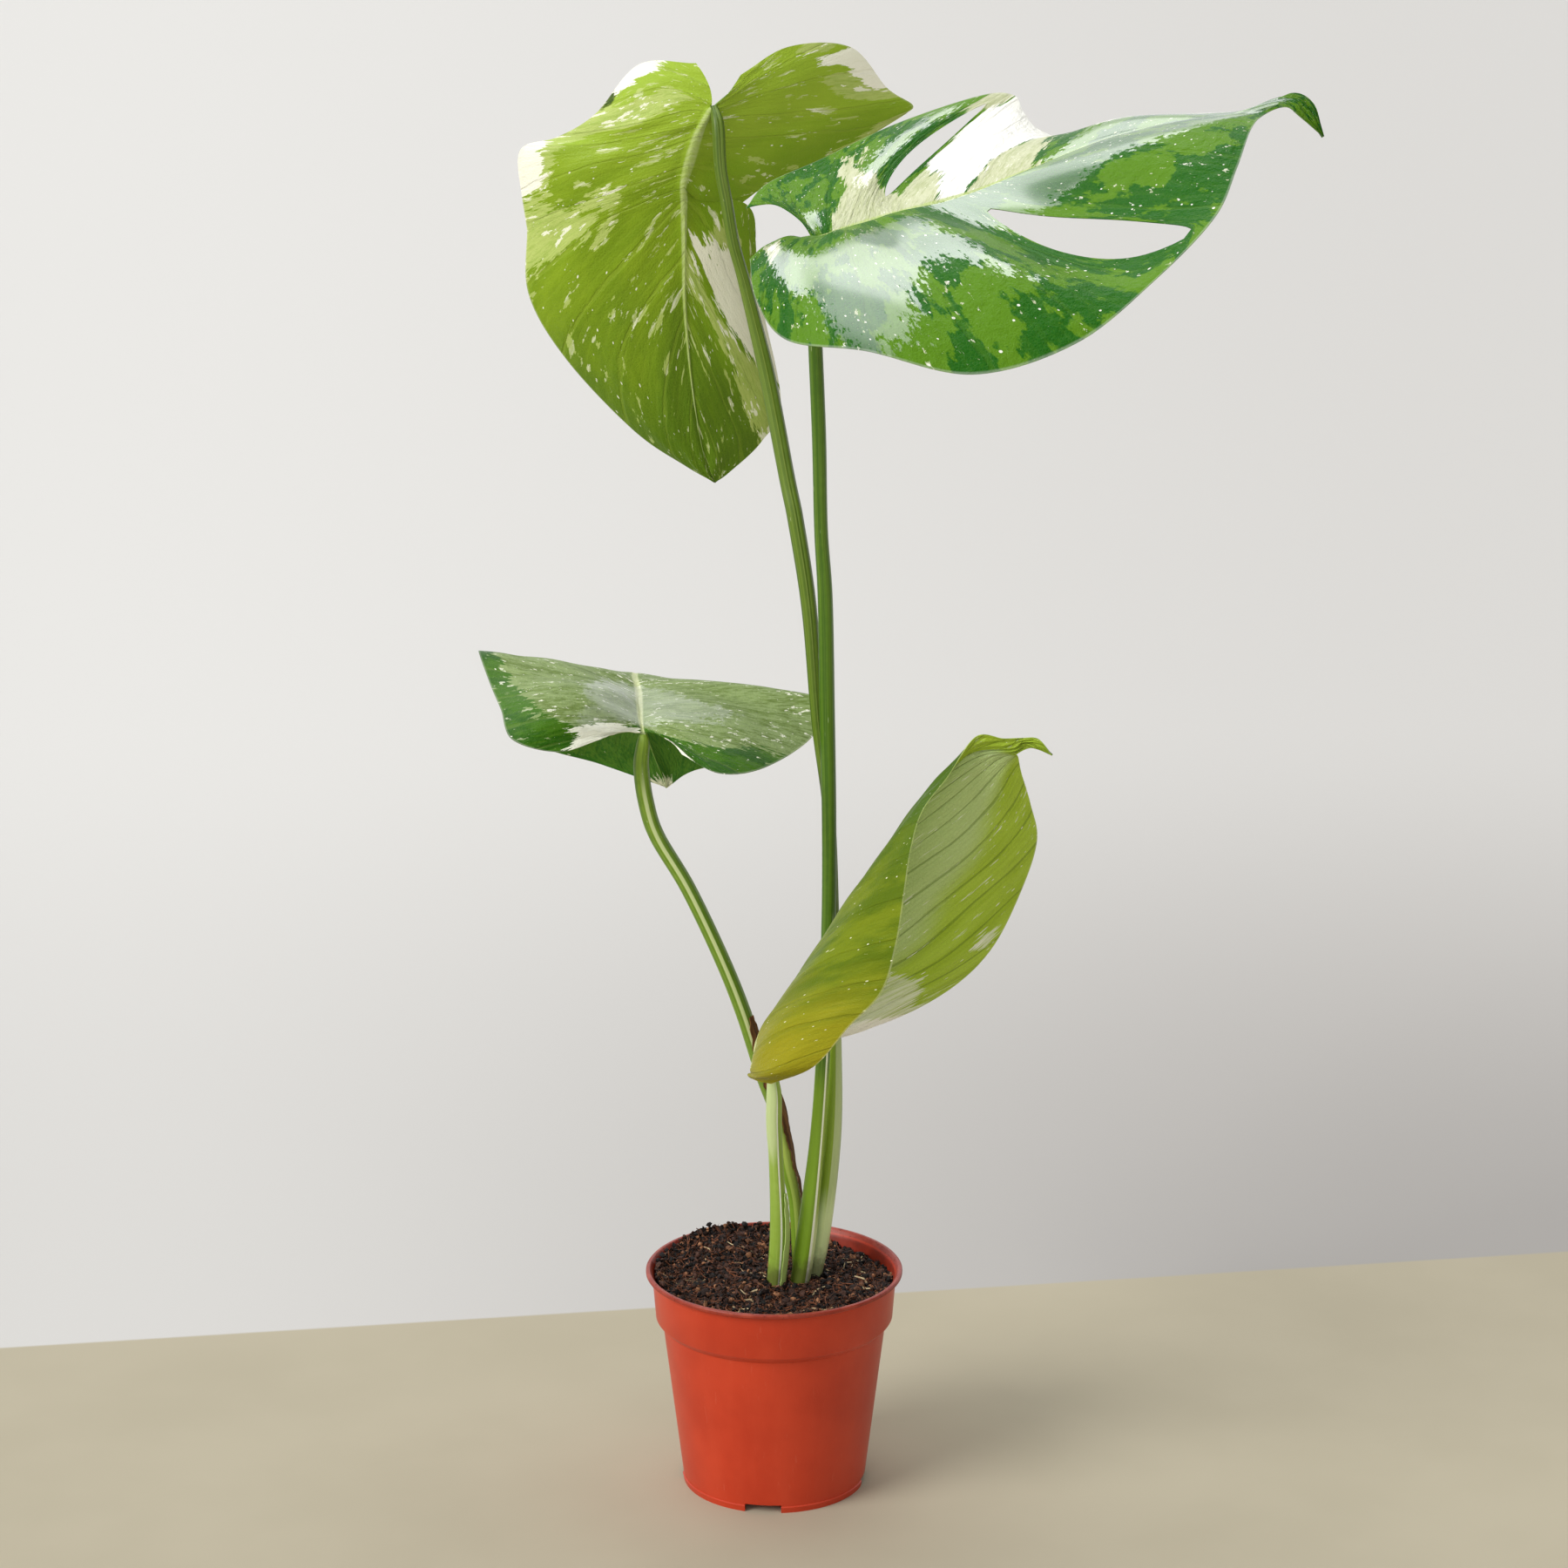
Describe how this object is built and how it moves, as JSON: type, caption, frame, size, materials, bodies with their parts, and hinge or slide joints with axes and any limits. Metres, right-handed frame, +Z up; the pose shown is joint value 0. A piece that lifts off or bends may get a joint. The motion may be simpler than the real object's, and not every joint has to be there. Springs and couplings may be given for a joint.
{
  "type": "potted monstera plant",
  "caption": "Young variegated monstera in a round plastic nursery pot, with tall leaf stalks, broad split and folded leaf blades, and dark potting soil.",
  "frame": {"origin": "centre of the flat boss under the pot, on the pot's axis at floor level", "axes": "+Z up along the pot axis, +X towards the long pointed leaf (the viewer's right), -Y towards the viewer"},
  "size_m": [0.3762, 0.2118, 0.6635],
  "materials": {
    "pot_plastic": "satin moulded terracotta-red polypropylene",
    "potting_soil": "loose dark peat and coir",
    "stalk_green": "smooth striped green stalk",
    "leaf_light": "matt light-green leaf, cream variegation",
    "leaf_deep": "glossy deep-green leaf, cream variegation",
    "leaf_sage": "waxy sage-green leaf, pale speckles",
    "sheath_pale": "pale green membrane",
    "sheath_dry": "dry brown papery membrane"
  },
  "bodies": {
    "root": {"pot": "pot_plastic", "soil": "potting_soil", "petiole_upper_left": "stalk_green", "petiole_upper_right": "stalk_green", "petiole_middle_left": "stalk_green", "petiole_lower_right": "stalk_green", "leaf_upper_left": "leaf_light", "leaf_upper_right": "leaf_deep", "leaf_middle_left": "leaf_sage", "leaf_lower_right": "leaf_light", "dried_sheath": "sheath_dry", "pale_sheath": "sheath_pale"}
  },
  "joints": []
}
